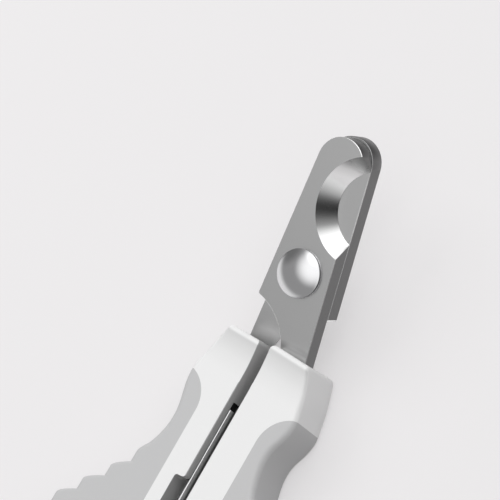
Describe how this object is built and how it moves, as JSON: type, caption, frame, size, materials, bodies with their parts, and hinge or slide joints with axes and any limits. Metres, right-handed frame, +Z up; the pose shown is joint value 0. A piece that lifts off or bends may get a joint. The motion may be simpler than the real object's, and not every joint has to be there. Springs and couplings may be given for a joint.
{
  "type": "pet nail clipper",
  "caption": "Plier-type pet nail clipper with crossed notched steel blades, white handles with soft ribbed grips, a slide-out nail file and a safety latch.",
  "frame": {"origin": "centre of the clipper's outline on the plane of the handles' flat backs", "axes": "+Y from the handle ends towards the blade tips, +Z up out of the handles' front faces, +X to the right seen from the front"},
  "size_m": [0.0586, 0.1374, 0.0244],
  "materials": {
    "blade_steel": "satin ground flats with a polished bevel",
    "rivet_steel": "polished",
    "spring_steel": "bright rolled",
    "white_plastic": "fine satin moulding",
    "cover_plastic": "fine satin moulding",
    "soft_grip": "matt soft touch",
    "latch_plastic": "satin",
    "screw_steel": "zinc plated"
  },
  "bodies": {
    "left_arm": {"rear_blade": "blade_steel", "pivot_rivet": "rivet_steel", "rivet_washer": "rivet_steel", "left_housing": "white_plastic", "left_grip": "soft_grip", "left_back_cover": "cover_plastic", "left_tang_screws": "screw_steel", "left_cover_screws": "screw_steel", "catch_peg": "rivet_steel"},
    "right_arm": {"front_blade": "blade_steel", "right_housing": "white_plastic", "right_grip": "soft_grip", "right_back_cover": "cover_plastic", "right_tang_screws": "screw_steel", "right_cover_screws": "screw_steel", "leaf_spring": "spring_steel", "spring_screw": "screw_steel", "latch_pin": "rivet_steel"},
    "file": {"nail_file": "spring_steel", "file_tab": "latch_plastic"},
    "latch": {"safety_latch": "latch_plastic"}
  },
  "joints": [
    {"name": "handle_pivot", "type": "hinge", "parent": "left_arm", "child": "right_arm", "pos_m": [0, 0.0424, 0.01183], "axis": [0, -0.3486, 0.9373], "range_deg": [0, 28], "deforming": ["leaf_spring"]},
    {"name": "file_slide", "type": "slide", "parent": "left_arm", "child": "file", "axis": [0, -1, 0], "range_m": [0, 0.045]},
    {"name": "latch_swing", "type": "hinge", "parent": "right_arm", "child": "latch", "pos_m": [0.0056, -0.06266, 0.0032], "axis": [0, 0, -1], "range_deg": [0, 180]}
  ]
}
